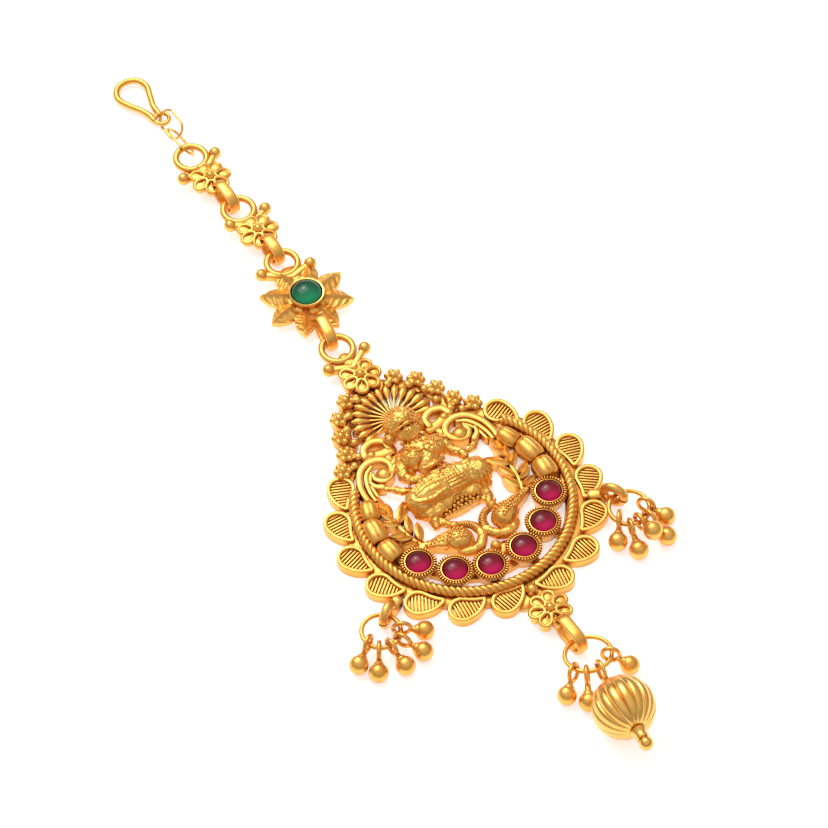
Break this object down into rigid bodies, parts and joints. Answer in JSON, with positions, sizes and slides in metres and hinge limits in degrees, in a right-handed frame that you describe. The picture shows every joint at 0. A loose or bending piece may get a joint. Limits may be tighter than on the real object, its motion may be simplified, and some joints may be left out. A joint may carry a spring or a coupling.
{
  "type": "maang tikka",
  "caption": "Gold temple-work maang tikka with a pierced goddess pendant, ruby and emerald cabochons, bell clusters, a melon drop, a short flower chain and a hair hook",
  "frame": {"origin": "bottom centre of the bounding box, on the plane the piece lies on", "axes": "+Y runs up the chain to the hair hook, +Z points from the back to the viewer, +X is to the right as it is seen from the front"},
  "size_m": [0.0546, 0.1498, 0.0093],
  "materials": {
    "gold": "satin",
    "ruby": "polished",
    "emerald": "polished"
  },
  "bodies": {
    "root": {"pendant": "gold", "ruby_1": "ruby", "ruby_2": "ruby", "ruby_3": "ruby", "ruby_4": "ruby", "ruby_5": "ruby", "ruby_6": "ruby", "emerald_link": "gold", "emerald": "emerald", "flower_link_1": "gold", "flower_link_2": "gold", "hair_hook": "gold", "thin_link_1": "gold", "thin_link_2": "gold", "left_ring": "gold", "left_bell_1": "gold", "left_bell_2": "gold", "left_bell_3": "gold", "left_bell_4": "gold", "left_bell_5": "gold", "right_ring": "gold", "right_bell_1": "gold", "right_bell_2": "gold", "right_bell_3": "gold", "right_bell_4": "gold", "right_bell_5": "gold", "bottom_ring": "gold", "bottom_bell_1": "gold", "bottom_bell_2": "gold", "bottom_bell_3": "gold", "melon_drop": "gold"}
  },
  "joints": []
}
